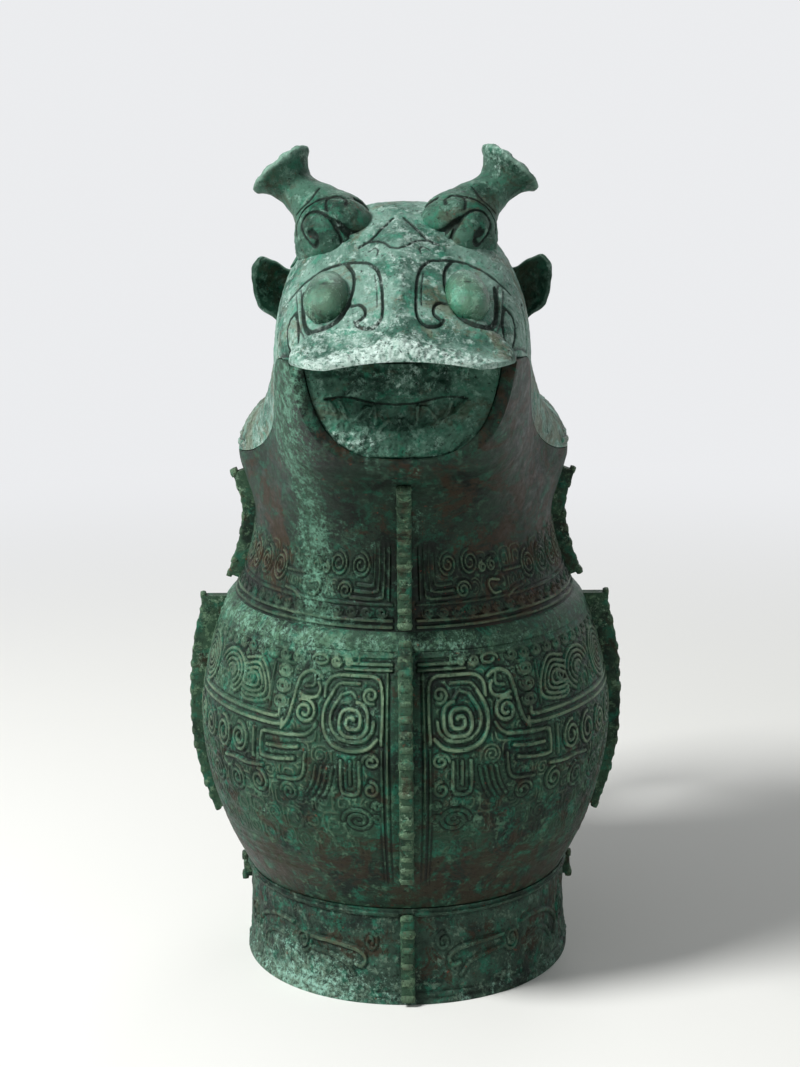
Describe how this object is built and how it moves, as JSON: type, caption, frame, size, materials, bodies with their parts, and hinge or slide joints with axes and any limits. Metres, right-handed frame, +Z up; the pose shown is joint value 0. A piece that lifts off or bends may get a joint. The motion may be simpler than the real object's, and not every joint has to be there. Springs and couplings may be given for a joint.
{
  "type": "bronze gong wine vessel",
  "caption": "Oval bronze pouring vessel on a ring foot, with scored flanges, a loop handle and a lift-off lid shaped as a horned dragon head.",
  "frame": {"origin": "on the table, midway between the snout's tip and the back of the handle", "axes": "+Z up, -Y towards the spout and the dragon's snout, +Y towards the handle, +X to the right for someone facing the snout"},
  "size_m": [0.1492, 0.254, 0.2808],
  "materials": {
    "body_bronze": "green patinated cast bronze",
    "foot_bronze": "green patinated cast bronze",
    "flange_bronze": "green patinated cast bronze",
    "head_bronze": "green patinated cast bronze",
    "horn_bronze": "green patinated cast bronze",
    "handle_bronze": "green patinated cast bronze"
  },
  "bodies": {
    "vessel": {"vessel_shell": "body_bronze", "foot_ring": "foot_bronze", "front_foot_flange": "flange_bronze", "front_belly_flange": "flange_bronze", "front_neck_flange": "flange_bronze", "rear_foot_flange": "flange_bronze", "rear_belly_flange": "flange_bronze", "left_foot_flange": "flange_bronze", "left_belly_flange": "flange_bronze", "left_neck_flange": "flange_bronze", "right_foot_flange": "flange_bronze", "right_belly_flange": "flange_bronze", "right_neck_flange": "flange_bronze", "handle_loop": "handle_bronze", "handle_beast_head": "handle_bronze", "handle_spur": "handle_bronze"},
    "lid": {"lid_shell": "head_bronze", "lid_tongue": "foot_bronze", "lid_jaw": "head_bronze", "lid_crest": "flange_bronze", "left_horn": "horn_bronze", "left_ear": "horn_bronze", "left_eye": "horn_bronze", "right_horn": "horn_bronze", "right_ear": "horn_bronze", "right_eye": "horn_bronze"}
  },
  "joints": [
    {"name": "lid_lift", "type": "slide", "parent": "vessel", "child": "lid", "axis": [0, 0, 1], "range_m": [0, 0.12]}
  ]
}
